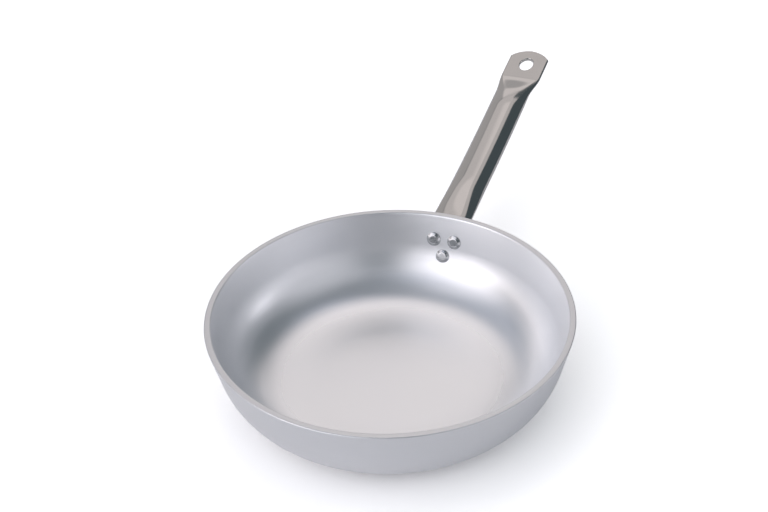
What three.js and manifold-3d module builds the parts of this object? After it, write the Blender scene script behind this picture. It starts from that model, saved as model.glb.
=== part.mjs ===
import * as THREE from 'three';
import { mergeVertices } from 'three/addons/utils/BufferGeometryUtils.js';
import Module from 'manifold-3d';

const wasm = await Module();
wasm.setup();

// Deep frying pan. Sizes are in millimetres and angles in degrees.
// The base stands on Z = 0 with the bowl's axis on Z, and the handle runs along +X.

// Bowl: one thick spun shell, flat base, large corner radius, straight flared wall
const RIM_RADIUS = 140;
const PAN_HEIGHT = 68;
const WALL = 5;
const FLARE = 14;
const CORNER_RADIUS = 52;
const RIM_EDGE_ROUND = 0.8;

// Rivets: bevelled flat head in the bowl, low domed tail outside
const RIVET_SPACING = 17.5;
const RIVET_UPPER_BELOW_RIM = 20.25;
const RIVET_LOWER_BELOW_RIM = 33.7;
const RIVET_SHANK_RADIUS = 3;
const RIVET_HEAD_RADIUS = 5.9;
const RIVET_HEAD_FLAT_RADIUS = 3.4;
const RIVET_HEAD_EDGE = 0.6;
const RIVET_HEAD_HEIGHT = 2;
const RIVET_TAIL_RADIUS = 4.2;
const RIVET_TAIL_EDGE = 0.5;
const RIVET_TAIL_HEIGHT = 2;
const RIVET_CLEARANCE = 0.2;
const RIVET_OVERLAP = 1;

// Gap left where one piece rests on another
const SEAT_GAP = 0.2;

// How far the tube's root is sunk between the faces of the flange it joins
const ROOT_INSET = 0.4;

// Handle: sheet formed to an oval tube, pressed flat at the flange and at the hanging tab
const SHEET = 1.5;
const FLANGE_EDGE = 9;
const FLANGE_TOP_RISE = 1.2;
const BEND_BELOW_RIM = 19.6;
const BEND_TOP_RADIUS = 16;
const BEND_UNDER_RADIUS = 2;
const ROOT_WIDTH = 32.5;
const ROOT_HEIGHT = 10;
const ROOT_TAPER_LENGTH = 50;
const TUBE_WIDTH = 31;
const TUBE_HEIGHT = 15.5;
const TUBE_LENGTH = 179;
const TUBE_START_SLOPE = 4.5;
const TUBE_END_SLOPE = 9.9;
const SEAM_WIDTH = 2;
const SEAM_MARGIN = 8;
const FLATTEN_RUN = 31;
const FLATTEN_RISE = 2.9;
const FLATTEN_LEAD = 22;
const TAB_SLOPE = 8;
const TAB_WIDTH = 36.5;
const TAB_TO_HOLE = 17.2;
const HOLE_TO_END = 20.9;
const TAB_END_RADIUS = 21.6;
const HOLE_LENGTH = 18.6;
const HOLE_WIDTH = 12.4;
const CAVITY_MIN_HALF = 0.6;

// Fineness of the curved faces
const TURN_SEGMENTS = 96;
const CORNER_STEPS = 9;
const EDGE_STEPS = 2;
const RIVET_SEGMENTS = 24;
const DOME_STEPS = 4;
const HOLE_SEGMENTS = 36;
const SIDE_STEPS = 8;
const FLAT_STEPS = 6;
const SIDE_SWEEP = 60;
const BEND_STEPS = 10;
const ROOT_SECTIONS = 12;
const TUBE_SECTIONS = 24;
const FLATTEN_SECTIONS = 12;
const END_ARC_STEPS = 20;
const FAR = 900;
const TINY = 1e-4;

const rad = THREE.MathUtils.degToRad;
const mix = THREE.MathUtils.lerp;
const v2 = (x, y) => new THREE.Vector2(x, y);
const smooth = (t) => t * t * (3 - 2 * t);

// Closed body from a geometry: shared corners, no empty faces, faces turned outward
function solidOf(geometry) {
  const bare = new THREE.BufferGeometry();
  bare.setAttribute('position', geometry.getAttribute('position').clone());
  if (geometry.index) {
    bare.setIndex(geometry.index.clone());
  }
  const merged = mergeVertices(bare, TINY);
  const pos = merged.getAttribute('position');
  const idx = merged.index.array;
  const tris = [];
  let volume = 0;
  const a = new THREE.Vector3();
  const b = new THREE.Vector3();
  const c = new THREE.Vector3();
  for (let i = 0; i < idx.length; i += 3) {
    const [p, q, r] = [idx[i], idx[i + 1], idx[i + 2]];
    if (p === q || q === r || r === p) {
      continue;
    }
    a.fromBufferAttribute(pos, p);
    b.fromBufferAttribute(pos, q);
    c.fromBufferAttribute(pos, r);
    volume += a.dot(b.cross(c));
    tris.push(p, q, r);
  }
  if (volume < 0) {
    tris.reverse();
  }
  const mesh = new wasm.Mesh({
    numProp: 3,
    vertProperties: new Float32Array(pos.array),
    triVerts: new Uint32Array(tris),
  });
  return new wasm.Manifold(mesh);
}

function geometryOf(solid) {
  const mesh = solid.getMesh();
  const geometry = new THREE.BufferGeometry();
  geometry.setAttribute('position', new THREE.BufferAttribute(mesh.vertProperties, 3));
  geometry.setIndex(new THREE.BufferAttribute(mesh.triVerts, 1));
  geometry.computeVertexNormals();
  return geometry;
}

// Body turned about Z from (radius, height) points
function turned(points, segments) {
  const geometry = new THREE.LatheGeometry(points, segments);
  geometry.rotateX(Math.PI / 2);
  return geometry;
}

// Bowl surfaces: offset 0 is the outside, positive offsets lie further out
const flare = rad(FLARE);
const cornerSweep = Math.PI / 2 - flare;
const wallRun = (PAN_HEIGHT - CORNER_RADIUS * (1 - Math.sin(flare))) / Math.cos(flare);
const baseRadius = RIM_RADIUS - CORNER_RADIUS * Math.cos(flare) - wallRun * Math.sin(flare);

function wallRadius(z, offset) {
  return RIM_RADIUS - (PAN_HEIGHT - z) * Math.tan(flare) + offset / Math.cos(flare);
}

function bowlSurface(offset) {
  const points = [v2(0, -offset)];
  const radius = CORNER_RADIUS + offset;
  for (let i = 0; i <= CORNER_STEPS; i += 1) {
    const turn = (cornerSweep * i) / CORNER_STEPS;
    points.push(v2(baseRadius + radius * Math.sin(turn), CORNER_RADIUS - radius * Math.cos(turn)));
  }
  points.push(v2(wallRadius(PAN_HEIGHT, offset), PAN_HEIGHT));
  return points;
}

// Surface point and outward normal angle at a height on the inside of the bowl
function insideAt(z) {
  const radius = CORNER_RADIUS - WALL;
  const cosTurn = (CORNER_RADIUS - z) / radius;
  const turn = Math.min(cornerSweep, Math.acos(THREE.MathUtils.clamp(cosTurn, -1, 1)));
  if (turn < cornerSweep) {
    return { r: baseRadius + radius * Math.sin(turn), turn };
  }
  return { r: wallRadius(z, -WALL), turn };
}

function bowlShell(outer, inner) {
  const points = bowlSurface(outer).concat(bowlSurface(inner).reverse());
  return solidOf(turned(points, TURN_SEGMENTS));
}

// Corner rounded over a set length between the points before and after it
function roundedCorner(before, corner, after, size) {
  const start = corner.clone().add(before.clone().sub(corner).setLength(size));
  const end = corner.clone().add(after.clone().sub(corner).setLength(size));
  return new THREE.QuadraticBezierCurve(start, corner, end).getPoints(EDGE_STEPS);
}

function bowlSolid() {
  const outside = bowlSurface(0);
  const inside = bowlSurface(-WALL).reverse();
  const rimOut = outside.pop();
  const rimIn = inside.shift();
  const edgeOut = roundedCorner(outside[outside.length - 1], rimOut, rimIn, RIM_EDGE_ROUND);
  const edgeIn = roundedCorner(rimOut, rimIn, inside[0], RIM_EDGE_ROUND);
  const points = outside.concat(edgeOut, edgeIn, inside);
  return solidOf(turned(points, TURN_SEGMENTS));
}

// Rivets stand square to the wall, with their local Y axis pointing into the bowl
const flangeThick = 2 * SHEET;
const stack = WALL + SEAT_GAP + flangeThick;

function rivetFrame(y, belowRim) {
  const z = PAN_HEIGHT - belowRim;
  const { r, turn } = insideAt(z);
  const angle = Math.asin(y / r);
  const inward = new THREE.Vector3(
    -Math.sin(turn) * Math.cos(angle),
    -Math.sin(turn) * Math.sin(angle),
    Math.cos(turn),
  );
  const side = new THREE.Vector3(-Math.sin(angle), Math.cos(angle), 0);
  const third = new THREE.Vector3().crossVectors(side, inward);
  const frame = new THREE.Matrix4().makeBasis(side, inward, third);
  frame.setPosition(r * Math.cos(angle), r * Math.sin(angle), z);
  return frame;
}

function rod(radius, low, high, segments, frame) {
  const geometry = new THREE.CylinderGeometry(radius, radius, high - low, segments);
  geometry.translate(0, (high + low) / 2, 0);
  geometry.applyMatrix4(frame);
  return solidOf(geometry);
}

function rivetSolid(frame) {
  const head = new THREE.LatheGeometry([
    v2(0, -RIVET_OVERLAP),
    v2(RIVET_HEAD_RADIUS, -RIVET_OVERLAP),
    v2(RIVET_HEAD_RADIUS, RIVET_HEAD_EDGE),
    v2(RIVET_HEAD_FLAT_RADIUS, RIVET_HEAD_HEIGHT),
    v2(0, RIVET_HEAD_HEIGHT),
  ], RIVET_SEGMENTS);
  head.applyMatrix4(frame);
  const tailPoints = [v2(0, RIVET_OVERLAP - stack), v2(RIVET_TAIL_RADIUS, RIVET_OVERLAP - stack)];
  for (let i = 0; i <= DOME_STEPS; i += 1) {
    const lift = (Math.PI / 2) * (i / DOME_STEPS);
    const rise = RIVET_TAIL_EDGE + (RIVET_TAIL_HEIGHT - RIVET_TAIL_EDGE) * Math.sin(lift);
    const across = i === DOME_STEPS ? 0 : RIVET_TAIL_RADIUS * Math.cos(lift);
    tailPoints.push(v2(across, -stack - rise));
  }
  const tail = new THREE.LatheGeometry(tailPoints, RIVET_SEGMENTS);
  tail.applyMatrix4(frame);
  const clamped = bowlShell(2 * SEAT_GAP + flangeThick, -WALL - SEAT_GAP);
  const heads = solidOf(head).add(solidOf(tail)).subtract(clamped);
  const reach = RIVET_TAIL_EDGE;
  const shank = rod(RIVET_SHANK_RADIUS, -stack - reach, reach, RIVET_SEGMENTS, frame);
  return heads.add(shank);
}

const halfSpacing = RIVET_SPACING / 2;
const rivetFrames = {
  rivet_upper_left: rivetFrame(halfSpacing, RIVET_UPPER_BELOW_RIM),
  rivet_upper_right: rivetFrame(-halfSpacing, RIVET_UPPER_BELOW_RIM),
  rivet_lower: rivetFrame(0, RIVET_LOWER_BELOW_RIM),
};

function rivetBores() {
  const radius = RIVET_SHANK_RADIUS + RIVET_CLEARANCE;
  return Object.values(rivetFrames).map((frame) => (
    rod(radius, -stack - WALL, WALL, RIVET_SEGMENTS, frame)
  ));
}

// Room left outside the flange for each rivet's tail
function tailPockets() {
  const radius = RIVET_TAIL_RADIUS + 2 * RIVET_CLEARANCE;
  const reach = RIVET_TAIL_HEIGHT + SEAT_GAP + RIVET_CLEARANCE;
  return Object.values(rivetFrames).map((frame) => (
    rod(radius, -stack - reach, RIVET_OVERLAP - stack, RIVET_SEGMENTS, frame)
  ));
}

// Handle line in the XZ plane. A heading is an angle above +X.
const heading = (angle) => v2(Math.cos(angle), Math.sin(angle));
const wallHeading = Math.PI / 2 - flare;
const tubeStart = rad(TUBE_START_SLOPE);
const tubeEnd = rad(TUBE_END_SLOPE);
const tabAngle = rad(TAB_SLOPE);

function bendArc(start, radius) {
  const points = [];
  for (let i = 0; i <= BEND_STEPS; i += 1) {
    const angle = mix(wallHeading, tubeStart, i / BEND_STEPS);
    points.push(v2(
      start.x + radius * (Math.sin(wallHeading) - Math.sin(angle)),
      start.y + radius * (Math.cos(angle) - Math.cos(wallHeading)),
    ));
  }
  return points;
}

function along(points, fraction) {
  const lengths = points.slice(1).map((p, i) => p.distanceTo(points[i]));
  let rest = fraction * lengths.reduce((sum, length) => sum + length, 0);
  for (let i = 0; i < lengths.length; i += 1) {
    if (rest <= lengths[i] || i === lengths.length - 1) {
      return points[i].clone().lerp(points[i + 1], Math.min(1, rest / lengths[i]));
    }
    rest -= lengths[i];
  }
  return points[0].clone();
}

const onWall = (z, offset) => v2(wallRadius(z, offset), z);
const flangeFace = SEAT_GAP + flangeThick;
const rootZ = new THREE.Vector3(0, -stack, 0).applyMatrix4(rivetFrames.rivet_upper_left).z;
const bendZ = PAN_HEIGHT - BEND_BELOW_RIM;
const rootBack = SEAT_GAP + ROOT_INSET;
const rootFace = flangeFace - ROOT_INSET;
const topLine = [onWall(rootZ, rootBack)].concat(bendArc(onWall(bendZ, rootBack), BEND_TOP_RADIUS));
const tubeUp = v2(-Math.sin(tubeStart), Math.cos(tubeStart));
const topEnd = topLine[topLine.length - 1];
const axisStart = topEnd.clone().addScaledVector(tubeUp, -ROOT_HEIGHT / 2);
const underEnd = topEnd.clone().addScaledVector(tubeUp, -ROOT_HEIGHT);

// The underside runs up the flange's outer face and turns out under the tube
function underLine() {
  const face = onWall(rootZ, rootFace);
  const up = heading(wallHeading);
  const out = heading(tubeStart);
  const cross = up.x * out.y - up.y * out.x;
  const gap = underEnd.clone().sub(face);
  const reach = (gap.x * out.y - gap.y * out.x) / cross;
  const setback = BEND_UNDER_RADIUS * Math.tan((wallHeading - tubeStart) / 2);
  const start = face.clone().addScaledVector(up, reach - setback);
  return [face].concat(bendArc(start, BEND_UNDER_RADIUS), [underEnd.clone()]);
}

const flangeHalf = RIVET_SPACING / 2 + FLANGE_EDGE;
const sections = [];

function addSection(centre, up, halfWidth, halfHeight, plate, part) {
  sections.push({ centre, up, halfWidth, halfHeight, plate, part });
}

const lowLine = underLine();
for (let i = 0; i < ROOT_SECTIONS; i += 1) {
  const t = i / ROOT_SECTIONS;
  const top = along(topLine, t);
  const low = along(lowLine, t);
  const half = top.distanceTo(low) / 2;
  const up = top.clone().sub(low).normalize();
  const halfWidth = mix(flangeHalf, ROOT_WIDTH / 2, smooth(t));
  addSection(top.add(low).multiplyScalar(0.5), up, halfWidth, half, 1 - smooth(t), 'root');
}

// Share of the pressing flat that is done at a way past the tube's end; it begins a little before that end
function pressed(way) {
  return smooth(THREE.MathUtils.clamp((way + FLATTEN_LEAD) / (FLATTEN_RUN + FLATTEN_LEAD), 0, 1));
}

const tubeStep = TUBE_LENGTH / TUBE_SECTIONS;
const axisPoint = axisStart.clone();
for (let i = 0; i <= TUBE_SECTIONS; i += 1) {
  const t = i / TUBE_SECTIONS;
  const angle = mix(tubeStart, tubeEnd, t);
  const taper = smooth(Math.min(1, (t * TUBE_LENGTH) / ROOT_TAPER_LENGTH));
  const halfWidth = mix(ROOT_WIDTH, TUBE_WIDTH, taper) / 2;
  const roundHeight = mix(ROOT_HEIGHT, TUBE_HEIGHT, taper);
  const halfHeight = mix(roundHeight, flangeThick, pressed((t - 1) * TUBE_LENGTH)) / 2;
  const up = v2(-Math.sin(angle), Math.cos(angle));
  addSection(axisPoint.clone(), up, halfWidth, halfHeight, 0, 'tube');
  if (i < TUBE_SECTIONS) {
    const midAngle = mix(tubeStart, tubeEnd, t + 1 / (2 * TUBE_SECTIONS));
    axisPoint.addScaledVector(heading(midAngle), tubeStep);
  }
}

const tabStart = axisPoint.clone().add(v2(FLATTEN_RUN, FLATTEN_RISE));
const tabUp = v2(-Math.sin(tabAngle), Math.cos(tabAngle));
const grip = FLATTEN_RUN / 3;
const flatten = new THREE.CubicBezierCurve(
  axisPoint.clone(),
  axisPoint.clone().addScaledVector(heading(tubeEnd), grip),
  tabStart.clone().addScaledVector(heading(tabAngle), -grip),
  tabStart.clone(),
);
for (let i = 1; i <= FLATTEN_SECTIONS; i += 1) {
  const t = i / FLATTEN_SECTIONS;
  const angle = mix(tubeEnd, tabAngle, t);
  const up = v2(-Math.sin(angle), Math.cos(angle));
  const halfWidth = mix(TUBE_WIDTH, TAB_WIDTH, smooth(t)) / 2;
  const halfHeight = mix(TUBE_HEIGHT, flangeThick, pressed(t * FLATTEN_RUN)) / 2;
  addSection(flatten.getPoint(t), up, halfWidth, halfHeight, smooth(t), 'flatten');
}
const tabLength = TAB_TO_HOLE + HOLE_TO_END;
const tabEnd = tabStart.clone().addScaledVector(heading(tabAngle), tabLength + flangeThick);
addSection(tabEnd, tabUp, TAB_WIDTH / 2, flangeThick / 2, 1, 'tab');

// Ring of (across, up) points: an oval for the tube, a round-edged plate where it is pressed flat
function ringOf(halfWidth, halfHeight, plate) {
  const ring = [];
  const flat = Math.max(0, halfWidth - halfHeight);
  const put = (turn, px, py) => {
    const angle = rad(turn);
    ring.push(v2(
      mix(halfWidth * Math.cos(angle), px, plate),
      mix(halfHeight * Math.sin(angle), py, plate),
    ));
  };
  for (const side of [1, -1]) {
    const base = side > 0 ? 0 : 180;
    for (let i = 0; i <= SIDE_STEPS; i += 1) {
      const t = (2 * i) / SIDE_STEPS - 1;
      const end = rad(90 * t);
      put(base + SIDE_SWEEP * t, side * (flat + halfHeight * Math.cos(end)), side * halfHeight * Math.sin(end));
    }
    for (let i = 1; i < FLAT_STEPS; i += 1) {
      const t = i / FLAT_STEPS;
      put(base + mix(SIDE_SWEEP, 180 - SIDE_SWEEP, t), side * mix(flat, -flat, t), side * halfHeight);
    }
  }
  return ring;
}

// The root of the handle is bowed to the round of the wall, and straightens out into the tube
const bowRadius = wallRadius(bendZ, rootBack);

function placeRing(section, ring) {
  const bow = section.part === 'root' ? section.plate : 0;
  return ring.map((p) => new THREE.Vector3(
    section.centre.x + section.up.x * p.y - bow * (bowRadius - Math.sqrt(bowRadius ** 2 - p.x ** 2)),
    p.x,
    section.centre.y + section.up.y * p.y,
  ));
}

// Closed body through a row of rings with equal counts
function loft(rings) {
  const count = rings[0].length;
  const points = rings.flat();
  const faces = [];
  for (let k = 0; k + 1 < rings.length; k += 1) {
    for (let i = 0; i < count; i += 1) {
      const j = (i + 1) % count;
      const [a, b] = [k * count + i, k * count + j];
      faces.push(a, b, b + count, a, b + count, a + count);
    }
  }
  const last = (rings.length - 1) * count;
  for (const [first, flip] of [[0, true], [last, false]]) {
    const middle = new THREE.Vector3();
    for (let i = 0; i < count; i += 1) {
      middle.addScaledVector(points[first + i], 1 / count);
    }
    points.push(middle);
    const hub = points.length - 1;
    for (let i = 0; i < count; i += 1) {
      const j = (i + 1) % count;
      const pair = flip ? [first + j, first + i] : [first + i, first + j];
      faces.push(hub, pair[0], pair[1]);
    }
  }
  const geometry = new THREE.BufferGeometry();
  geometry.setFromPoints(points);
  geometry.setIndex(faces);
  return solidOf(geometry);
}

function handleSkin() {
  return loft(sections.map((s) => placeRing(s, ringOf(s.halfWidth, s.halfHeight, s.plate))));
}

function handleCavity() {
  const open = sections.filter((s) => s.part !== 'tab' && s.halfHeight - SHEET > CAVITY_MIN_HALF);
  return loft(open.map((s) => (
    placeRing(s, ringOf(s.halfWidth - SHEET, s.halfHeight - SHEET, s.plate))
  )));
}

// Open seam along the underside of the tube
function handleSeam() {
  const half = SEAM_WIDTH / 2;
  const tube = sections.filter((s) => s.part === 'tube').slice(2, -2);
  return loft(tube.map((s) => {
    const low = -s.halfHeight - SEAM_MARGIN;
    const high = -s.halfHeight / 2;
    return placeRing(s, [v2(-half, low), v2(half, low), v2(half, high), v2(-half, high)]);
  }));
}

// Outline around a set of points, counter-clockwise
function hullOf(points) {
  const sorted = points.slice().sort((p, q) => p.x - q.x || p.y - q.y);
  const turn = (o, p, q) => (p.x - o.x) * (q.y - o.y) - (p.y - o.y) * (q.x - o.x);
  const chain = (list) => {
    const out = [];
    for (const p of list) {
      while (out.length > 1 && turn(out[out.length - 2], out[out.length - 1], p) <= 0) {
        out.pop();
      }
      out.push(p);
    }
    out.pop();
    return out;
  };
  return chain(sorted).concat(chain(sorted.slice().reverse()));
}

// Flange: a plate that follows the outside of the wall, rounded about the three rivets
function flangePlate() {
  const reach = [];
  for (const frame of Object.values(rivetFrames)) {
    const centre = new THREE.Vector3(0, -stack, 0).applyMatrix4(frame);
    for (let i = 0; i < HOLE_SEGMENTS; i += 1) {
      const spot = heading((2 * Math.PI * i) / HOLE_SEGMENTS).multiplyScalar(FLANGE_EDGE);
      reach.push(v2(centre.y + spot.x, centre.z + spot.y));
    }
  }
  const topZ = bendZ + FLANGE_TOP_RISE;
  const cut = reach.filter((p) => p.y < topZ);
  cut.push(v2(-flangeHalf, topZ), v2(flangeHalf, topZ));
  const shape = new THREE.Shape(hullOf(cut));
  const prism = new THREE.ExtrudeGeometry(shape, { depth: FAR, bevelEnabled: false });
  const axes = new THREE.Matrix4().makeBasis(
    new THREE.Vector3(0, 1, 0),
    new THREE.Vector3(0, 0, 1),
    new THREE.Vector3(1, 0, 0),
  );
  prism.applyMatrix4(axes);
  return bowlShell(flangeFace, SEAT_GAP).intersect(solidOf(prism));
}

const tabFrame = new THREE.Matrix4().makeBasis(
  new THREE.Vector3(Math.cos(tabAngle), 0, Math.sin(tabAngle)),
  new THREE.Vector3(0, 1, 0),
  new THREE.Vector3(-Math.sin(tabAngle), 0, Math.cos(tabAngle)),
).setPosition(tabStart.x, 0, tabStart.y);

// Everything short of the rounded end of the tab
function tabOutline() {
  const half = Math.min(TAB_END_RADIUS * Math.sin(rad(80)), TAB_WIDTH / 2 + 1);
  const sweep = Math.asin(half / TAB_END_RADIUS);
  const centre = tabLength - TAB_END_RADIUS;
  const points = [v2(-FAR, -FAR)];
  points.push(v2(centre + TAB_END_RADIUS * Math.cos(sweep), -FAR));
  for (let i = 0; i <= END_ARC_STEPS; i += 1) {
    const angle = mix(-sweep, sweep, i / END_ARC_STEPS);
    points.push(v2(centre + TAB_END_RADIUS * Math.cos(angle), TAB_END_RADIUS * Math.sin(angle)));
  }
  points.push(v2(centre + TAB_END_RADIUS * Math.cos(sweep), FAR));
  points.push(v2(-FAR, FAR));
  const geometry = new THREE.ExtrudeGeometry(new THREE.Shape(points), { depth: 2 * FAR, bevelEnabled: false });
  geometry.translate(0, 0, -FAR);
  geometry.applyMatrix4(tabFrame);
  return solidOf(geometry);
}

function hangingHole() {
  const shape = new THREE.Shape();
  shape.absellipse(0, 0, HOLE_LENGTH / 2, HOLE_WIDTH / 2, 0, 2 * Math.PI, false, 0);
  const depth = 2 * TUBE_HEIGHT;
  const geometry = new THREE.ExtrudeGeometry(shape, { depth, bevelEnabled: false, curveSegments: HOLE_SEGMENTS });
  geometry.translate(TAB_TO_HOLE, 0, -depth / 2);
  geometry.applyMatrix4(tabFrame);
  return solidOf(geometry);
}

const bores = rivetBores();
let bowl = bowlSolid();
for (const bore of bores) {
  bowl = bowl.subtract(bore);
}
let handle = handleSkin().subtract(bowlShell(SEAT_GAP, -WALL));
for (const pocket of tailPockets()) {
  handle = handle.subtract(pocket);
}
handle = handle.add(flangePlate()).subtract(handleCavity()).subtract(handleSeam());
handle = handle.intersect(tabOutline()).subtract(hangingHole());
for (const bore of bores) {
  handle = handle.subtract(bore);
}

const aluminium = { color: 0xc9cacc, roughness: 0.38, metalness: 1 };
const steel = { color: 0xb9b6b2, roughness: 0.14, metalness: 1 };
const rivetMetal = { color: 0xd2d3d5, roughness: 0.3, metalness: 1 };

const group = new THREE.Group();
group.name = 'deep_frying_pan';

function place(name, solid, look) {
  const mesh = new THREE.Mesh(geometryOf(solid), new THREE.MeshStandardMaterial(look));
  mesh.name = name;
  group.add(mesh);
}

place('pan_body', bowl, aluminium);
place('handle', handle, steel);
for (const [name, frame] of Object.entries(rivetFrames)) {
  place(name, rivetSolid(frame), rivetMetal);
}

export default group;
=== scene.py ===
import math
from collections import namedtuple

import bmesh
import bpy
from mathutils import Matrix, Vector


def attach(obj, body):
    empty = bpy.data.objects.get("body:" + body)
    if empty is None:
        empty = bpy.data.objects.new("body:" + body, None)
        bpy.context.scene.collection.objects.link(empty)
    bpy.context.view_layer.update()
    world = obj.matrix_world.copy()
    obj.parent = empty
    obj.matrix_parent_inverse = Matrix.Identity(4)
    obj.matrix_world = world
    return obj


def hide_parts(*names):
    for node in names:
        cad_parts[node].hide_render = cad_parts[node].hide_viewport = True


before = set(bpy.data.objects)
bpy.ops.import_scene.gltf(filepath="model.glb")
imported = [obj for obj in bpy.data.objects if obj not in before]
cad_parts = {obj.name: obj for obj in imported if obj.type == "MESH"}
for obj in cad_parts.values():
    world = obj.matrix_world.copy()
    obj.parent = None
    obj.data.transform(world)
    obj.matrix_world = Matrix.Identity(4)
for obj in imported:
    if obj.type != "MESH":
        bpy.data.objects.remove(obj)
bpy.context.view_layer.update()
scene = bpy.context.scene
scene.view_settings.view_transform = "Standard"

MM = 0.001

# Bowl, in millimetres, as in the solid model
RIM_RADIUS = 140.0
PAN_HEIGHT = 68.0
WALL = 5.0
FLARE = math.radians(14.0)
CORNER_RADIUS = 52.0

# Finer than the solid model: rounder rim edges, and an inside corner that leaves the floor gently
RIM_OUTER_ROUND = 1.05
RIM_INNER_ROUND = 1.1
EASE_TURN = math.radians(22.0)
EASE_GAIN = 4.3

# Rivets
RIVET_SPACING = 17.5
RIVET_UPPER_BELOW_RIM = 20.25
RIVET_LOWER_BELOW_RIM = 33.7
RIVET_SHANK_RADIUS = 3.0
RIVET_HEAD_RADIUS = 5.9
RIVET_HEAD_FLAT_RADIUS = 3.4
RIVET_HEAD_EDGE = 0.6
RIVET_HEAD_HEIGHT = 2.0
RIVET_HEAD_SEAT = 0.15
RIVET_EDGE_ROUND = 0.3
RIVET_CREST_ROUND = 0.5
RIVET_INNER_RING_RADIUS = 1.36
RIVET_TAIL_RADIUS = 4.2
RIVET_TAIL_EDGE = 0.5
RIVET_TAIL_HEIGHT = 2.0
SEAT_GAP = 0.2

# Handle
SHEET = 1.5
ROOT_INSET = 0.4
FLANGE_EDGE = 9.0
BEND_BELOW_RIM = 19.6
BEND_TOP_RADIUS = 16.0
BEND_UNDER_RADIUS = 2.0
ROOT_WIDTH = 32.5
ROOT_HEIGHT = 10.0
ROOT_TAPER_LENGTH = 50.0
TUBE_WIDTH = 31.0
TUBE_HEIGHT = 15.5
TUBE_LENGTH = 179.0
TUBE_START_SLOPE = math.radians(4.5)
TUBE_END_SLOPE = math.radians(9.9)
SEAM_WIDTH = 2.0
FLATTEN_RUN = 31.0
FLATTEN_RISE = 2.9
FLATTEN_LEAD = 22.0
TAB_SLOPE = math.radians(8.0)
TAB_WIDTH = 36.5
TAB_TO_HOLE = 17.2
HOLE_TO_END = 20.9
TAB_END_RADIUS = 21.6
HOLE_LENGTH = 18.6
HOLE_WIDTH = 12.4
HOLE_EDGE = 0.6
CAVITY_MIN_HALF = 0.6

# Fineness: steps along each stretch of a surface, and points round it
TURN_SEGMENTS = 288
FLOOR_STEPS = 12
OUTSIDE_CORNER_STEPS = 40
INSIDE_CORNER_STEPS = 120
WALL_STEPS = 10
RIM_OUTER_STEPS = 6
RIM_INNER_STEPS = 10
RIVET_SEGMENTS = 64
RIVET_TAIL_STEPS = 10
RIVET_EDGE_STEPS = 5
RIVET_CREST_STEPS = 6
FOOT_STEPS = 22
SHOULDER_STEPS = 8
BEND_TOP_STEPS = 40
BEND_UNDER_STEPS = 24
ROOT_STEPS = 36
TUBE_STEPS = 48
FLATTEN_STEPS = 40
TAB_STEPS = 10
TAB_END_STEPS = 22
RING_SIDE = 26
RING_FLAT = 24
SIDE_SWEEP = math.radians(60.0)
EYE_SEGMENTS = 72
EYE_EDGE_STEPS = 6

# A foot or end starts this far round its arc, so that its first section has some width
FOOT_TIP_ANGLE = 0.06
TAB_TIP_ANGLE = 0.07

# How far the cutters of the seam and the eye reach past the metal, and how many tube sections stay uncut
SEAM_CUT_PAST = 8.0
SEAM_WHOLE_SECTIONS = 4
EYE_CUT_PAST = 3.0

# Edges that turn by more than this many degrees are drawn sharp
BOWL_SHARP = 40.0
RIVET_SHARP = 50.0
HANDLE_SHARP = 35.0
FLOOR_SHARP = 30.0


def mix(a, b, t):
    return a + (b - a) * t


def smooth(t):
    t = min(1.0, max(0.0, t))
    return t * t * (3.0 - 2.0 * t)


# Bowl surfaces: offset 0 is the outside, positive offsets lie further out
CORNER_SWEEP = math.pi / 2 - FLARE
WALL_RUN = (PAN_HEIGHT - CORNER_RADIUS * (1 - math.sin(FLARE))) / math.cos(FLARE)
BASE_RADIUS = RIM_RADIUS - CORNER_RADIUS * math.cos(FLARE) - WALL_RUN * math.sin(FLARE)


def wall_radius(z, offset):
    return RIM_RADIUS - (PAN_HEIGHT - z) * math.tan(FLARE) + offset / math.cos(FLARE)


def surface_at(z, offset):
    """Radius and turn of the wall surface at a height, for an offset from the outside."""
    radius = CORNER_RADIUS + offset
    turn = min(CORNER_SWEEP, math.acos(max(-1.0, min(1.0, (CORNER_RADIUS - z) / radius))))
    if turn < CORNER_SWEEP:
        return BASE_RADIUS + radius * math.sin(turn), turn
    return wall_radius(z, offset), turn


def wall_points(start_z, offset):
    heights = [mix(start_z, PAN_HEIGHT, i / WALL_STEPS) for i in range(1, WALL_STEPS + 1)]
    return [(wall_radius(z, offset), z) for z in heights]


def outside_surface():
    """Outside of the bowl as points (radius, height), from the base to the rim."""
    points = [(BASE_RADIUS * i / FLOOR_STEPS, 0.0) for i in range(1, FLOOR_STEPS + 1)]
    for i in range(1, OUTSIDE_CORNER_STEPS + 1):
        turn = CORNER_SWEEP * i / OUTSIDE_CORNER_STEPS
        radius = BASE_RADIUS + CORNER_RADIUS * math.sin(turn)
        points.append((radius, CORNER_RADIUS - CORNER_RADIUS * math.cos(turn)))
    return points + wall_points(points[-1][1], 0.0)


def inside_surface():
    """Inside of the bowl: the corner leaves the floor gently and tightens to its full radius."""
    bend = CORNER_RADIUS - WALL
    step = CORNER_SWEEP / INSIDE_CORNER_STEPS
    run, rise = [0.0], [0.0]
    for i in range(INSIDE_CORNER_STEPS):
        turn = step * (i + 0.5)
        radius = bend * (1.0 + EASE_GAIN * max(0.0, 1.0 - turn / EASE_TURN) ** 2)
        run.append(run[-1] + radius * math.cos(turn) * step)
        rise.append(rise[-1] + radius * math.sin(turn) * step)
    wall_z = WALL + rise[-1]
    flat = wall_radius(wall_z, -WALL) - run[-1]
    points = [(flat * i / FLOOR_STEPS, WALL) for i in range(1, FLOOR_STEPS + 1)]
    points += [(flat + r, WALL + z) for r, z in zip(run[1:], rise[1:])]
    return points + wall_points(wall_z, -WALL)


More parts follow.
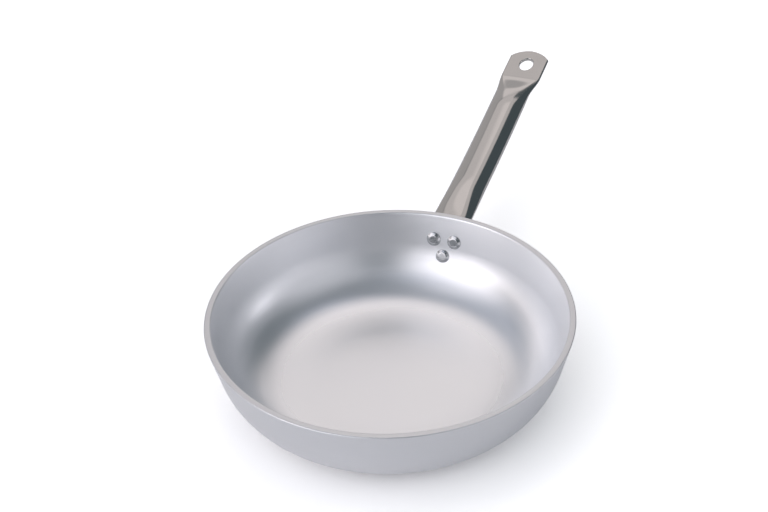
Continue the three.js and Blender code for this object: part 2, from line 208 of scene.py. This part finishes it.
def rounded(before, corner, after, size, steps):
    """Points of a curve that rounds off a corner, starting and ending size away from it."""
    b, c, a = Vector(before), Vector(corner), Vector(after)
    start = c + (b - c).normalized() * size
    end = c + (a - c).normalized() * size
    out = []
    for i in range(steps + 1):
        t = i / steps
        p = start.lerp(c, t).lerp(c.lerp(end, t), t)
        out.append((p.x, p.y))
    return out


def new_object(name, bm, sharp_deg):
    mesh = bpy.data.meshes.new(name)
    bmesh.ops.recalc_face_normals(bm, faces=bm.faces)
    bm.to_mesh(mesh)
    bm.free()
    for poly in mesh.polygons:
        poly.use_smooth = True
    mesh.set_sharp_from_angle(angle=math.radians(sharp_deg))
    obj = bpy.data.objects.new(name, mesh)
    scene.collection.objects.link(obj)
    return obj


def lathe(name, poles, profile, segments, matrix, sharp_deg):
    """Closed body turned about Z, with the heights of its two poles and the points between them."""
    bm = bmesh.new()
    rings = []
    for r, z in profile:
        ring = []
        for k in range(segments):
            a = 2 * math.pi * k / segments
            ring.append(bm.verts.new(matrix @ Vector((r * math.cos(a) * MM, r * math.sin(a) * MM, z * MM))))
        rings.append(ring)
    low, high = [bm.verts.new(matrix @ Vector((0, 0, z * MM))) for z in poles]
    for ring_a, ring_b in zip(rings, rings[1:]):
        for k in range(segments):
            j = (k + 1) % segments
            bm.faces.new((ring_a[k], ring_a[j], ring_b[j], ring_b[k]))
    for k in range(segments):
        j = (k + 1) % segments
        bm.faces.new((low, rings[0][j], rings[0][k]))
        bm.faces.new((high, rings[-1][k], rings[-1][j]))
    return new_object(name, bm, sharp_deg)


def make_bowl():
    outside = outside_surface()
    inside = inside_surface()[::-1]
    rim_out = outside.pop()
    rim_in = inside.pop(0)
    edge_out = rounded(outside[-1], rim_out, rim_in, RIM_OUTER_ROUND, RIM_OUTER_STEPS)
    edge_in = rounded(rim_out, rim_in, inside[0], RIM_INNER_ROUND, RIM_INNER_STEPS)
    profile = outside + edge_out + edge_in + inside
    return lathe("bowl", (0.0, WALL), profile, TURN_SEGMENTS, Matrix.Identity(4), BOWL_SHARP)


# Rivets stand square to the wall with their own Z axis pointing into the bowl
FLANGE_THICK = 2 * SHEET
STACK = WALL + SEAT_GAP + FLANGE_THICK


def rivet_frame(y, below_rim):
    z = PAN_HEIGHT - below_rim
    r, turn = surface_at(z, -WALL)
    angle = math.asin(y / r)
    outward = Vector((math.cos(angle), math.sin(angle), 0.0))
    inward = Vector((0.0, 0.0, math.cos(turn))) - outward * math.sin(turn)
    side = Vector((-math.sin(angle), math.cos(angle), 0.0))
    m = Matrix((side, inward.cross(side), inward)).transposed().to_4x4()
    m.translation = (outward * r + Vector((0.0, 0.0, z))) * MM
    return m


def make_rivet(name, m):
    profile = []
    for i in range(1, RIVET_TAIL_STEPS + 1):
        a = math.pi / 2 * (1 - i / RIVET_TAIL_STEPS)
        rise = RIVET_TAIL_EDGE + (RIVET_TAIL_HEIGHT - RIVET_TAIL_EDGE) * math.sin(a)
        profile.append((RIVET_TAIL_RADIUS * math.cos(a), -STACK - rise))
    profile.append((RIVET_TAIL_RADIUS, -STACK - SEAT_GAP))
    profile.append((RIVET_SHANK_RADIUS, -STACK - SEAT_GAP))
    profile.append((RIVET_SHANK_RADIUS, RIVET_HEAD_SEAT))
    foot = (RIVET_HEAD_RADIUS, RIVET_HEAD_SEAT)
    edge = (RIVET_HEAD_RADIUS, RIVET_HEAD_EDGE)
    crest = (RIVET_HEAD_FLAT_RADIUS, RIVET_HEAD_HEIGHT)
    middle = (0.0, RIVET_HEAD_HEIGHT)
    profile.append(foot)
    profile += rounded(foot, edge, crest, RIVET_EDGE_ROUND, RIVET_EDGE_STEPS)
    profile += rounded(edge, crest, middle, RIVET_CREST_ROUND, RIVET_CREST_STEPS)
    profile.append((RIVET_INNER_RING_RADIUS, RIVET_HEAD_HEIGHT))
    poles = (-STACK - RIVET_TAIL_HEIGHT, RIVET_HEAD_HEIGHT)
    return lathe(name, poles, profile, RIVET_SEGMENTS, m, RIVET_SHARP)


RIVETS = {
    "rivet_upper_left": rivet_frame(RIVET_SPACING / 2, RIVET_UPPER_BELOW_RIM),
    "rivet_upper_right": rivet_frame(-RIVET_SPACING / 2, RIVET_UPPER_BELOW_RIM),
    "rivet_lower": rivet_frame(0.0, RIVET_LOWER_BELOW_RIM),
}


def rivet_seat_z(name):
    """Height at which a rivet leaves the flange's outer face."""
    return (RIVETS[name] @ Vector((0, 0, -STACK * MM))).z / MM


# Handle line in the XZ plane. A heading is an angle above +X.
WALL_HEADING = math.pi / 2 - FLARE
FLANGE_FACE = SEAT_GAP + FLANGE_THICK
ROOT_BACK = SEAT_GAP + ROOT_INSET
BEND_Z = PAN_HEIGHT - BEND_BELOW_RIM
ROOT_Z = rivet_seat_z("rivet_upper_left")
FLANGE_HALF = RIVET_SPACING / 2 + FLANGE_EDGE

# One cross-section of the handle: plate goes from 0, an oval, to 1, a round-edged plate.
# A bow radius above 0 bends the plate round the bowl.
Section = namedtuple("Section", "centre up half_width half_height plate bow_radius")


def heading(a):
    return Vector((math.cos(a), math.sin(a)))


def upright(a):
    return Vector((-math.sin(a), math.cos(a)))


def on_wall(z, offset):
    return Vector((wall_radius(z, offset), z))


def bend_arc(start, radius, steps):
    """Points of an arc that turns from the wall's heading to the tube's."""
    out = []
    for i in range(steps + 1):
        turned = upright(mix(WALL_HEADING, TUBE_START_SLOPE, i / steps)) - upright(WALL_HEADING)
        out.append(start + turned * radius)
    return out


def along(points, fraction):
    lengths = [(b - a).length for a, b in zip(points, points[1:])]
    rest = fraction * sum(lengths)
    for i, length in enumerate(lengths):
        if rest <= length or i == len(lengths) - 1:
            return points[i].lerp(points[i + 1], min(1.0, rest / length))
        rest -= length


def pressed(past_tube):
    """Share of the flattening done at a distance past the tube's end."""
    return smooth((past_tube + FLATTEN_LEAD) / (FLATTEN_LEAD + FLATTEN_RUN))


def flange_sections():
    """A plate that follows the wall, with a rounded foot about the lower rivet."""
    upper = Vector((RIVET_SPACING / 2, ROOT_Z))
    lower = Vector((0.0, rivet_seat_z("rivet_lower")))
    run = upper - lower
    # The side is the tangent line of the two rounds: it leaves them at this angle below the horizontal
    lean = math.atan2(run.x, run.y)
    angles = [mix(-math.pi / 2 + FOOT_TIP_ANGLE, -lean, i / FOOT_STEPS) for i in range(FOOT_STEPS + 1)]
    outline = [lower + heading(a) * FLANGE_EDGE for a in angles]
    angles = [mix(-lean, 0.0, i / SHOULDER_STEPS) for i in range(1, SHOULDER_STEPS + 1)]
    outline += [upper + heading(a) * FLANGE_EDGE for a in angles]
    sections = []
    for half_width, z in outline:
        r, turn = surface_at(z, SEAT_GAP + FLANGE_THICK / 2)
        sections.append(Section(Vector((r, z)), upright(turn), half_width, FLANGE_THICK / 2, 1.0, r))
    return sections


def root_sections():
    """The bend from the flange out into the tube, and the point where the tube's axis starts."""
    top_line = [on_wall(ROOT_Z, SEAT_GAP)]
    top_line += bend_arc(on_wall(BEND_Z, ROOT_BACK), BEND_TOP_RADIUS, BEND_TOP_STEPS)
    top_end = top_line[-1]
    tube_up = upright(TUBE_START_SLOPE)
    under_end = top_end - tube_up * ROOT_HEIGHT
    face = on_wall(ROOT_Z, FLANGE_FACE)
    climb, out = heading(WALL_HEADING), heading(TUBE_START_SLOPE)
    gap = under_end - face
    reach = (gap.x * out.y - gap.y * out.x) / (climb.x * out.y - climb.y * out.x)
    setback = BEND_UNDER_RADIUS * math.tan((WALL_HEADING - TUBE_START_SLOPE) / 2)
    under_bend = bend_arc(face + climb * (reach - setback), BEND_UNDER_RADIUS, BEND_UNDER_STEPS)
    under_line = [face] + under_bend + [under_end]
    bow = wall_radius(BEND_Z, ROOT_BACK)
    sections = []
    for i in range(1, ROOT_STEPS):
        t = i / ROOT_STEPS
        top, under = along(top_line, t), along(under_line, t)
        rise = top - under
        wide = mix(FLANGE_HALF, ROOT_WIDTH / 2, smooth(t))
        plate = 1 - smooth(t)
        sections.append(Section((top + under) / 2, rise.normalized(), wide, rise.length / 2, plate, bow))
    return sections, top_end - tube_up * ROOT_HEIGHT / 2


def tube_sections(axis):
    """The oval tube from a start point, and the point where it ends."""
    sections = []
    for i in range(TUBE_STEPS + 1):
        t = i / TUBE_STEPS
        done = t * TUBE_LENGTH
        taper = smooth(done / ROOT_TAPER_LENGTH)
        wide = mix(ROOT_WIDTH, TUBE_WIDTH, taper) / 2
        high = mix(mix(ROOT_HEIGHT, TUBE_HEIGHT, taper), FLANGE_THICK, pressed(done - TUBE_LENGTH)) / 2
        slope = mix(TUBE_START_SLOPE, TUBE_END_SLOPE, t)
        sections.append(Section(axis.copy(), upright(slope), wide, high, 0.0, 0.0))
        if i < TUBE_STEPS:
            slope = mix(TUBE_START_SLOPE, TUBE_END_SLOPE, (i + 0.5) / TUBE_STEPS)
            axis = axis + heading(slope) * (TUBE_LENGTH / TUBE_STEPS)
    return sections, axis


def flatten_sections(axis):
    """The stretch that is pressed flat, and the point where the tab starts."""
    tab = axis + Vector((FLATTEN_RUN, FLATTEN_RISE))
    grip = FLATTEN_RUN / 3
    leave = axis + heading(TUBE_END_SLOPE) * grip
    arrive = tab - heading(TAB_SLOPE) * grip
    sections = []
    for i in range(1, FLATTEN_STEPS + 1):
        t = i / FLATTEN_STEPS
        s = 1 - t
        centre = axis * s ** 3 + leave * 3 * s * s * t + arrive * 3 * s * t * t + tab * t ** 3
        wide = mix(TUBE_WIDTH, TAB_WIDTH, smooth(t)) / 2
        high = mix(TUBE_HEIGHT, FLANGE_THICK, pressed(t * FLATTEN_RUN)) / 2
        slope = mix(TUBE_END_SLOPE, TAB_SLOPE, t)
        sections.append(Section(centre, upright(slope), wide, high, smooth(t), 0.0))
    return sections, tab


def tab_sections(tab):
    """The flat tab, with a rounded end that leaves a corner at each side."""
    up, ahead = upright(TAB_SLOPE), heading(TAB_SLOPE)
    centre = TAB_TO_HOLE + HOLE_TO_END - TAB_END_RADIUS
    corner = math.asin(TAB_WIDTH / 2 / TAB_END_RADIUS)
    corner_at = centre + TAB_END_RADIUS * math.cos(corner)
    outline = [(corner_at * i / TAB_STEPS, TAB_WIDTH / 2) for i in range(1, TAB_STEPS + 1)]
    for i in range(1, TAB_END_STEPS + 1):
        a = mix(corner, TAB_TIP_ANGLE, i / TAB_END_STEPS)
        outline.append((centre + TAB_END_RADIUS * math.cos(a), TAB_END_RADIUS * math.sin(a)))
    return [Section(tab + ahead * at, up, half, FLANGE_THICK / 2, 1.0, 0.0) for at, half in outline]


def ring_of(half_width, half_height, plate):
    """Points (across, up): an oval for the tube, a round-edged plate where it is pressed flat."""
    ring = []
    flat = max(0.0, half_width - half_height)
    round_w = min(half_width, half_height)
    for side in (1.0, -1.0):
        base = 0.0 if side > 0 else math.pi
        for i in range(RING_SIDE + 1):
            t = 2.0 * i / RING_SIDE - 1.0
            e = math.pi / 2 * t
            oval = base + SIDE_SWEEP * t
            ring.append((
                mix(half_width * math.cos(oval), side * (flat + round_w * math.cos(e)), plate),
                mix(half_height * math.sin(oval), side * half_height * math.sin(e), plate),
            ))
        for i in range(1, RING_FLAT):
            t = i / RING_FLAT
            oval = base + mix(SIDE_SWEEP, math.pi - SIDE_SWEEP, t)
            ring.append((
                mix(half_width * math.cos(oval), side * mix(flat, -flat, t), plate),
                mix(half_height * math.sin(oval), side * half_height, plate),
            ))
    return ring


def place_ring(section, ring):
    centre, up, bow = section.centre, section.up, section.bow_radius
    out = []
    for across, rise in ring:
        dip = section.plate * (bow - math.sqrt(max(0.0, bow ** 2 - across ** 2))) if bow else 0.0
        out.append(Vector((centre.x + up.x * rise - dip, across, centre.y + up.y * rise)) * MM)
    return out


def section_ring(section, inset):
    ring = ring_of(section.half_width - inset, section.half_height - inset, section.plate)
    return place_ring(section, ring)


def loft(name, rings):
    bm = bmesh.new()
    made = [[bm.verts.new(p) for p in ring] for ring in rings]
    count = len(rings[0])
    for ring_a, ring_b in zip(made, made[1:]):
        for k in range(count):
            j = (k + 1) % count
            bm.faces.new((ring_a[k], ring_a[j], ring_b[j], ring_b[k]))
    for ring in (made[0][::-1], made[-1]):
        bm.faces.new(ring)
    return new_object(name, bm, HANDLE_SHARP)


def cut(target, tools):
    """Takes each tool's body out of the target, and removes the tools."""
    for tool in tools:
        mod = target.modifiers.new("cut", "BOOLEAN")
        mod.operation = "DIFFERENCE"
        mod.solver = "EXACT"
        mod.object = tool
    bpy.context.view_layer.update()
    graph = bpy.context.evaluated_depsgraph_get()
    done = bpy.data.meshes.new_from_object(target.evaluated_get(graph))
    target.modifiers.clear()
    old = target.data
    target.data = done
    done.name = old.name + "_cut"
    bpy.data.meshes.remove(old)
    for tool in tools:
        bpy.data.objects.remove(tool)


def make_cavity(sections):
    hollow = [s for s in sections if s.half_height - SHEET > CAVITY_MIN_HALF]
    return loft("cavity", [section_ring(s, SHEET) for s in hollow])


def make_seam(tube):
    half = SEAM_WIDTH / 2
    rings = []
    for section in tube[SEAM_WHOLE_SECTIONS:-SEAM_WHOLE_SECTIONS]:
        low, high = -section.half_height - SEAM_CUT_PAST, -section.half_height / 2
        rings.append(place_ring(section, [(-half, low), (half, low), (half, high), (-half, high)]))
    return loft("seam", rings)


def make_eye(tab):
    """An oval cutter that opens out at both faces, so that the hole's edges are rounded."""
    ahead = Vector((math.cos(TAB_SLOPE), 0, math.sin(TAB_SLOPE)))
    up = Vector((-math.sin(TAB_SLOPE), 0, math.cos(TAB_SLOPE)))
    across = Vector((0, 1, 0))
    middle = Vector((tab.x, 0, tab.y)) + ahead * TAB_TO_HOLE
    half_thick = FLANGE_THICK / 2
    levels = [(-half_thick - EYE_CUT_PAST, HOLE_EDGE)]
    for i in range(EYE_EDGE_STEPS + 1):
        a = math.pi / 2 * i / EYE_EDGE_STEPS
        levels.append((-half_thick + HOLE_EDGE * (1 - math.cos(a)), HOLE_EDGE * (1 - math.sin(a))))
    levels += [(-level, grow) for level, grow in levels[::-1]]
    rings = []
    for level, grow in levels:
        ring = []
        for k in range(EYE_SEGMENTS):
            a = 2 * math.pi * k / EYE_SEGMENTS
            long_way = ahead * (HOLE_LENGTH / 2 + grow) * math.cos(a)
            short_way = across * (HOLE_WIDTH / 2 + grow) * math.sin(a)
            ring.append((middle + long_way + short_way + up * level) * MM)
        rings.append(ring)
    return loft("eye", rings)


def make_handle():
    root, tube_start = root_sections()
    tube, tube_end = tube_sections(tube_start)
    flatten, tab = flatten_sections(tube_end)
    whole = flange_sections() + root + tube + flatten + tab_sections(tab)
    made = loft("handle_tube", [section_ring(s, 0.0) for s in whole])
    cut(made, [make_cavity(root + tube + flatten), make_seam(tube), make_eye(tab)])
    made.data.set_sharp_from_angle(angle=math.radians(HANDLE_SHARP))
    return made


bowl = make_bowl()
handle = make_handle()
rivet_pieces = {name: make_rivet(name + "_formed", m) for name, m in RIVETS.items()}


# Node helpers
def node(tree, kind, **values):
    made = tree.nodes.new(kind)
    for key, value in values.items():
        setattr(made, key, value)
    return made


def math_node(tree, operation, a, b=None):
    made = node(tree, "ShaderNodeMath", operation=operation)
    for socket, value in zip(made.inputs, (a, b)):
        if value is None:
            continue
        if isinstance(value, (int, float)):
            socket.default_value = value
        else:
            tree.links.new(value, socket)
    return made.outputs[0]


def remap(tree, value, low, high, to_low, to_high, interpolation="LINEAR"):
    made = node(tree, "ShaderNodeMapRange", interpolation_type=interpolation)
    tree.links.new(value, made.inputs["Value"])
    for key, number in (("From Min", low), ("From Max", high), ("To Min", to_low), ("To Max", to_high)):
        made.inputs[key].default_value = number
    return made.outputs["Result"]


def noise(tree, vector, scale, detail, dimensions="3D", w=None):
    made = node(tree, "ShaderNodeTexNoise", noise_dimensions=dimensions)
    made.inputs["Scale"].default_value = scale
    made.inputs["Detail"].default_value = detail
    tree.links.new(vector, made.inputs["Vector"])
    if w is not None:
        tree.links.new(w, made.inputs["W"])
    return made.outputs["Fac"]


def tint(tree, fac, low, high):
    """Mixes two colours; the low one may also be a socket."""
    made = node(tree, "ShaderNodeMix", data_type="RGBA")
    fac_in, low_in, high_in = made.inputs[0], made.inputs[6], made.inputs[7]
    tree.links.new(fac, fac_in)
    if isinstance(low, tuple):
        low_in.default_value = (*low, 1.0)
    else:
        tree.links.new(low, low_in)
    high_in.default_value = (*high, 1.0)
    return made.outputs[2]


def metal(name):
    mat = bpy.data.materials.new(name)
    mat.use_nodes = True
    tree = mat.node_tree
    bsdf = tree.nodes["Principled BSDF"]
    bsdf.inputs["Metallic"].default_value = 1.0
    coords = node(tree, "ShaderNodeTexCoord").outputs["Object"]
    return mat, tree, bsdf, coords


def add_bump(tree, bsdf, height, strength, distance):
    bump = node(tree, "ShaderNodeBump")
    bump.inputs["Strength"].default_value = strength
    bump.inputs["Distance"].default_value = distance
    tree.links.new(height, bump.inputs["Height"])
    tree.links.new(bump.outputs["Normal"], bsdf.inputs["Normal"])


def turned_axes(tree, coords):
    """Sockets for x, y, z and the distance from the Z axis."""
    parts = node(tree, "ShaderNodeSeparateXYZ")
    tree.links.new(coords, parts.inputs[0])
    x, y, z = parts.outputs
    squares = math_node(tree, "ADD", math_node(tree, "MULTIPLY", x, x), math_node(tree, "MULTIPLY", y, y))
    return x, y, z, math_node(tree, "SQRT", squares)


def turned_marks(tree, axes, fine, around):
    """Noise drawn out round the Z axis, as a lathe leaves it."""
    x, y, z, radius = axes
    safe = math_node(tree, "MAXIMUM", radius, AXIS_RADIUS)
    join = node(tree, "ShaderNodeCombineXYZ")
    tree.links.new(math_node(tree, "MULTIPLY", radius, fine), join.inputs[0])
    tree.links.new(math_node(tree, "MULTIPLY", z, fine), join.inputs[1])
    tree.links.new(math_node(tree, "MULTIPLY", math_node(tree, "DIVIDE", x, safe), around), join.inputs[2])
    w = math_node(tree, "MULTIPLY", math_node(tree, "DIVIDE", y, safe), around)
    return noise(tree, join.outputs[0], 1.0, FINE_DETAIL, "4D", w)


# Materials: lengths in metres, colours linear. Most of a noise lies between the two noise values.
NOISE_LOW = 0.3
NOISE_HIGH = 0.7
FINE_DETAIL = 3.0
SOFT_DETAIL = 2.0
AXIS_RADIUS = 0.0001

ALUMINIUM_SHADES = (0.845, 0.852, 0.868), (0.875, 0.878, 0.882)
ALUMINIUM_CLOUD_SCALE = 14.0
# Painted shade: the lip's top gets a darker colour in place of the darker reflection it shows
LIP_PAINTED_SHADE = (0.74, 0.745, 0.755)
LIP_FROM = 0.0673
LIP_TO = 0.0679
FLOOR_FINISH_RADIUS = 0.084
WALL_FINISH_RADIUS = 0.108
FLOOR_ROUGHNESS = 0.27
WALL_ROUGHNESS = 0.40
FLOOR_GRAIN = 0.05
MARKS_FINE = 900.0
MARKS_AROUND = 1.5
MARKS_ROUGHNESS = 0.025
BANDS_FINE = 110.0
BANDS_AROUND = 0.6
BANDS_ROUGHNESS = 0.03

STEEL_SHADES = (0.52, 0.508, 0.487), (0.555, 0.541, 0.518)
STEEL_LINE_SCALE = (14.0, 700.0, 700.0)
STEEL_LINE_ROUGHNESS = 0.06, 0.09
STEEL_SMEAR_SCALE = 38.0
STEEL_SMEAR_LOW = 0.35
STEEL_SMEAR_HIGH = 0.65
STEEL_SMEAR_ROUGHNESS = -0.015, 0.02

RIVET_SHADES = (0.48, 0.485, 0.49), (0.58, 0.585, 0.59)
RIVET_GRAIN_SCALE = 900.0
RIVET_ROUGHNESS = 0.2, 0.3


def satin_aluminium():
    """Smooth on the floor, coarser on the walls, and a darker colour on the turned lip, a painted shade
    that stands in for its darker reflection.
    """
    mat, tree, bsdf, coords = metal("satin_aluminium")
    axes = turned_axes(tree, coords)
    height, radius = axes[2:]
    marks = turned_marks(tree, axes, MARKS_FINE, MARKS_AROUND)
    bands = turned_marks(tree, axes, BANDS_FINE, BANDS_AROUND)
    body = tint(tree, noise(tree, coords, ALUMINIUM_CLOUD_SCALE, SOFT_DETAIL), *ALUMINIUM_SHADES)
    # Painted shade: the lip's top is mixed towards a darker colour
    painted_lip_shade = remap(tree, height, LIP_FROM, LIP_TO, 0.0, 1.0)
    tree.links.new(tint(tree, painted_lip_shade, body, LIP_PAINTED_SHADE), bsdf.inputs["Base Color"])
    zone = FLOOR_FINISH_RADIUS, WALL_FINISH_RADIUS
    finish = remap(tree, radius, *zone, FLOOR_ROUGHNESS, WALL_ROUGHNESS, "SMOOTHSTEP")
    depth = remap(tree, radius, *zone, FLOOR_GRAIN, 1.0)
    marks_part = remap(tree, marks, NOISE_LOW, NOISE_HIGH, -MARKS_ROUGHNESS, MARKS_ROUGHNESS)
    bands_part = remap(tree, bands, NOISE_LOW, NOISE_HIGH, -BANDS_ROUGHNESS, BANDS_ROUGHNESS)
    grain = math_node(tree, "MULTIPLY", math_node(tree, "ADD", marks_part, bands_part), depth)
    tree.links.new(math_node(tree, "ADD", finish, grain), bsdf.inputs["Roughness"])
    add_bump(tree, bsdf, math_node(tree, "MULTIPLY", marks, depth), strength=0.1, distance=0.0004)
    return mat


def polished_steel():
    """Fine lines along the handle, and faint smears."""
    mat, tree, bsdf, coords = metal("polished_steel")
    stretch = node(tree, "ShaderNodeMapping")
    stretch.inputs["Scale"].default_value = STEEL_LINE_SCALE
    tree.links.new(coords, stretch.inputs["Vector"])
    lines = noise(tree, stretch.outputs[0], 1.0, FINE_DETAIL)
    smear = noise(tree, coords, STEEL_SMEAR_SCALE, FINE_DETAIL)
    tree.links.new(tint(tree, smear, *STEEL_SHADES), bsdf.inputs["Base Color"])
    lines_part = remap(tree, lines, NOISE_LOW, NOISE_HIGH, *STEEL_LINE_ROUGHNESS)
    smear_part = remap(tree, smear, STEEL_SMEAR_LOW, STEEL_SMEAR_HIGH, *STEEL_SMEAR_ROUGHNESS)
    tree.links.new(math_node(tree, "ADD", lines_part, smear_part), bsdf.inputs["Roughness"])
    add_bump(tree, bsdf, lines, strength=0.03, distance=0.0003)
    return mat


def rivet_aluminium():
    mat, tree, bsdf, coords = metal("rivet_aluminium")
    grain = noise(tree, coords, RIVET_GRAIN_SCALE, FINE_DETAIL)
    tree.links.new(tint(tree, grain, *RIVET_SHADES), bsdf.inputs["Base Color"])
    tree.links.new(remap(tree, grain, NOISE_LOW, NOISE_HIGH, *RIVET_ROUGHNESS), bsdf.inputs["Roughness"])
    add_bump(tree, bsdf, grain, strength=0.08, distance=0.0003)
    return mat


bowl.data.materials.append(satin_aluminium())
handle.data.materials.append(polished_steel())
rivet_mat = rivet_aluminium()
for piece in rivet_pieces.values():
    piece.data.materials.append(rivet_mat)

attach(bowl, "root")
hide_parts("pan_body")
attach(handle, "root")
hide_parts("handle")
for name, piece in rivet_pieces.items():
    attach(piece, "root")
    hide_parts(name)

# Camera at the photograph's viewpoint. Its place is in metres, with the picture's right along +X,
# and is turned back by the handle's azimuth into the pan's frame.
HANDLE_AZIMUTH = math.radians(68.65)
CAMERA_PLACE = Vector((0.0, -0.9119, 0.7687))
CAMERA_PITCH = math.radians(35.41)
CAMERA_YAW = math.radians(0.15)
CAMERA_ROLL = math.radians(-2.36)
FOCAL_PIXELS = 1526.3
PHOTO_PIXELS_WIDE = 768
SENSOR_WIDTH = 36.0


def make_camera():
    data = bpy.data.cameras.new("camera")
    data.sensor_fit = "HORIZONTAL"
    data.sensor_width = SENSOR_WIDTH
    data.lens = FOCAL_PIXELS * SENSOR_WIDTH / PHOTO_PIXELS_WIDE
    made = bpy.data.objects.new("camera", data)
    scene.collection.objects.link(made)
    place = Matrix.Rotation(-HANDLE_AZIMUTH, 4, "Z") @ Matrix.Translation(CAMERA_PLACE)
    aim = Matrix.Rotation(CAMERA_YAW, 4, "Z") @ Matrix.Rotation(math.pi / 2 - CAMERA_PITCH, 4, "X")
    made.matrix_world = place @ aim @ Matrix.Rotation(CAMERA_ROLL, 4, "Z")
    scene.camera = made


make_camera()

# Floor: plain white, lifted to white for the camera alone, and less so where the pan shelters it, which
# paints a shadow round the pan
FLOOR_HALF = 12.0
FLOOR_DROP = 0.0003
FLOOR_SHADE = 0.92
FLOOR_LIFT = 0.6
SHADE_REACH = 0.16
SHADE_DEEP = 0.05
SHADE_CLEAR = 0.85
SHADE_SAMPLES = 16


def white_floor():
    mat = bpy.data.materials.new("white_floor")
    mat.use_nodes = True
    tree = mat.node_tree
    bsdf = tree.nodes["Principled BSDF"]
    bsdf.inputs["Base Color"].default_value = (FLOOR_SHADE, FLOOR_SHADE, FLOOR_SHADE, 1.0)
    bsdf.inputs["Roughness"].default_value = 1.0
    bsdf.inputs["Specular IOR Level"].default_value = 0.0
    bsdf.inputs["Emission Color"].default_value = (1.0, 1.0, 1.0, 1.0)
    seen = node(tree, "ShaderNodeLightPath").outputs["Is Camera Ray"]
    shelter = node(tree, "ShaderNodeAmbientOcclusion", samples=SHADE_SAMPLES)
    shelter.inputs["Distance"].default_value = SHADE_REACH
    # Painted shadow: the lift falls away where ambient occlusion finds the pan close by
    lift = remap(tree, shelter.outputs["AO"], SHADE_DEEP, SHADE_CLEAR, 0.0, FLOOR_LIFT)
    tree.links.new(math_node(tree, "MULTIPLY", seen, lift), bsdf.inputs["Emission Strength"])
    return mat


def make_floor():
    bm = bmesh.new()
    signs = ((-1, -1), (1, -1), (1, 1), (-1, 1))
    bm.faces.new([bm.verts.new((FLOOR_HALF * x, FLOOR_HALF * y, -FLOOR_DROP)) for x, y in signs])
    made = new_object("floor", bm, FLOOR_SHARP)
    made.data.materials.append(white_floor())
    return made


floor = make_floor()

# Light tent: soft sheets of light round the pan, on a dim surround.
# Azimuths run counter-clockwise from the picture's right, and elevations up from the floor, in degrees.
TENT_SHADE = (0.09, 0.115, 0.13)
PANEL_EDGE = 2.0
WARM = (1.0, 0.91, 0.9)
WHITE = (1.0, 0.97, 1.03)
COOL = (0.9, 0.95, 1.15)
PANELS = {
    # name: azimuth from, to, elevation from, to, brightness, tone
    "back_low": (58, 118, 0, 34, 0.45, WARM),
    "back_glow": (58, 95, 24, 35, 0.4, WARM),
    "back_middle": (73, 118, 35, 47, 0.7, WARM),
    "back_upper": (73, 118, 47, 57, 0.9, WARM),
    "back_middle_end": (58, 73, 40, 57, 0.65, WARM),
    "back_strip": (58, 103, 57, 70, 1.2, WARM),
    "back_strip_end": (103, 118, 57, 70, 0.7, WARM),
    "back_right": (28, 58, 60, 70, 0.7, COOL),
    "back_roof": (28, 103, 70, 80, 0.22, COOL),
    "left_back_strip": (118, 148, 20, 28, 0.85, WARM),
    "left_back_sheet": (118, 193, 34, 80, 0.28, COOL),
    "left_low": (133, 223, 0, 20, 1.3, WARM),
    "left_strip": (178, 223, 28, 38, 0.8, WARM),
    "left_post": (178, 193, 38, 80, 1.2, WARM),
    "key": (193, 253, 0, 52, 1.5, WHITE),
    "key_roof": (193, 253, 52, 70, 0.6, COOL),
    "front_right": (290, 358, 0, 60, 0.55, WHITE),
    "right_post": (-2, 13, 0, 20, 3.0, WHITE),
}


def soft_edge(tree, height, elevation, below, above):
    """Goes from one value to the other as a ray's height passes an elevation."""
    low, high = [math.sin(math.radians(elevation + d)) for d in (-PANEL_EDGE, PANEL_EDGE)]
    return remap(tree, height, low, high, below, above, "SMOOTHSTEP")


def panel_mask(tree, level, height, start, end, low, high):
    """1 where a ray meets the panel and 0 elsewhere, with a soft edge."""
    middle = math.radians((start + end) / 2) - HANDLE_AZIMUTH
    half = (end - start) / 2
    aim = node(tree, "ShaderNodeVectorMath", operation="DOT_PRODUCT")
    aim.inputs[1].default_value = (math.cos(middle), math.sin(middle), 0.0)
    tree.links.new(level, aim.inputs[0])
    outer, inner = [math.cos(math.radians(half + d)) for d in (PANEL_EDGE, -PANEL_EDGE)]
    mask = remap(tree, aim.outputs["Value"], outer, inner, 0.0, 1.0, "SMOOTHSTEP")
    if low > 0:
        mask = math_node(tree, "MULTIPLY", mask, soft_edge(tree, height, low, 0.0, 1.0))
    return math_node(tree, "MULTIPLY", mask, soft_edge(tree, height, high, 1.0, 0.0))


def light_tent():
    world = bpy.data.worlds.new("light_tent")
    scene.world = world
    world.use_nodes = True
    tree = world.node_tree
    ray = node(tree, "ShaderNodeTexCoord").outputs["Generated"]
    flat = node(tree, "ShaderNodeVectorMath", operation="MULTIPLY")
    flat.inputs[1].default_value = (1.0, 1.0, 0.0)
    tree.links.new(ray, flat.inputs[0])
    level = node(tree, "ShaderNodeVectorMath", operation="NORMALIZE")
    tree.links.new(flat.outputs[0], level.inputs[0])
    parts = node(tree, "ShaderNodeSeparateXYZ")
    tree.links.new(ray, parts.inputs[0])
    total = None
    for start, end, low, high, brightness, tone in PANELS.values():
        mask = panel_mask(tree, level.outputs[0], parts.outputs[2], start, end, low, high)
        glow = node(tree, "ShaderNodeVectorMath", operation="SCALE")
        glow.inputs[0].default_value = [brightness * channel for channel in tone]
        tree.links.new(mask, glow.inputs["Scale"])
        add = node(tree, "ShaderNodeVectorMath", operation="ADD")
        tree.links.new(glow.outputs[0], add.inputs[0])
        if total is None:
            add.inputs[1].default_value = TENT_SHADE
        else:
            tree.links.new(total, add.inputs[1])
        total = add.outputs[0]
    background = tree.nodes["Background"]
    tree.links.new(total, background.inputs["Color"])
    background.inputs["Strength"].default_value = 1.0


light_tent()
